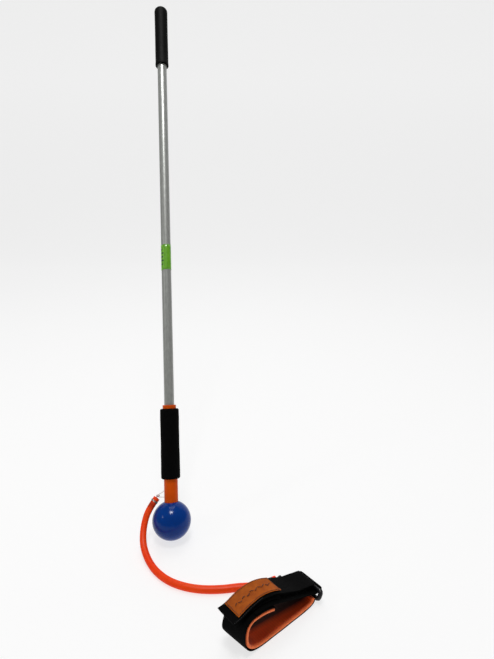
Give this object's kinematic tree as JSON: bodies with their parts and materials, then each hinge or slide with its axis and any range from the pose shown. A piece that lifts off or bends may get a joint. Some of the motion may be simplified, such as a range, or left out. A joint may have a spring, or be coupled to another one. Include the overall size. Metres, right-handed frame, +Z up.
{
  "type": "swing trainer stick",
  "caption": "Straight golf swing trainer stick with a ball and foam grip at one end and an elastic tether that ends in a padded hook-and-loop cuff.",
  "frame": {"origin": "the ball's lowest point, where it touches the floor", "axes": "+Z up; the stick leans 24 degrees back towards +Y and 2.5 degrees towards -X; the cuff and tether lie in front, towards -Y"},
  "size_m": [0.2565, 0.555, 0.8031],
  "materials": {
    "ball": "gloss",
    "shaft": "satin",
    "wrap_label": "satin",
    "grip_rubber": "matte",
    "foam": "matte",
    "sleeve": "satin",
    "inner_plastic": "matte",
    "steel": "satin",
    "string": "matte",
    "tube": "satin",
    "plug_rubber": "matte",
    "webbing": "matte",
    "lining": "matte",
    "hook_tape": "matte",
    "patch": "matte",
    "ring": "satin"
  },
  "bodies": {
    "stick": {"ball": "ball", "shaft_tube": "shaft", "shaft_lower_plug": "inner_plastic", "ball_stud": "steel", "shaft_label": "wrap_label", "end_cap": "grip_rubber", "grip_sleeve": "sleeve", "lower_bush": "inner_plastic", "upper_bush": "sleeve", "foam_grip": "foam", "anchor_string": "string"},
    "tether": {"resistance_tube": "tube", "tube_upper_plug": "plug_rubber", "tube_upper_clamp": "steel", "tube_lower_clamp": "steel", "tube_lower_plug": "plug_rubber"},
    "cuff": {"cuff_lining": "lining", "cuff_webbing": "webbing", "cuff_tail": "webbing", "loop_patch": "hook_tape", "ring_keeper": "webbing", "tether_tab": "webbing"},
    "flap": {"cuff_flap": "webbing", "cuff_label": "patch", "hook_patch": "hook_tape"},
    "ring": {"slide_ring": "ring"}
  },
  "joints": [
    {"name": "tether_swing", "type": "hinge", "parent": "stick", "child": "tether", "pos_m": [-0.0205, 0.011, 0.0628], "axis": [0, 0, 1], "range_deg": [-60, 2]},
    {"name": "cuff_swivel", "type": "hinge", "parent": "tether", "child": "cuff", "pos_m": [0.15392, -0.09549, 0.01155], "axis": [0, 0, 1], "range_deg": [-15, 20]},
    {"name": "flap_peel", "type": "hinge", "parent": "cuff", "child": "flap", "pos_m": [0.19206, -0.10631, 0.0165], "axis": [-0.6494, 0.7604, 0], "range_deg": [0, 110]},
    {"name": "ring_pivot", "type": "hinge", "parent": "cuff", "child": "ring", "pos_m": [0.18826, -0.10956, 0.007], "axis": [0.6494, -0.7604, 0], "range_deg": [-3, 3]}
  ]
}
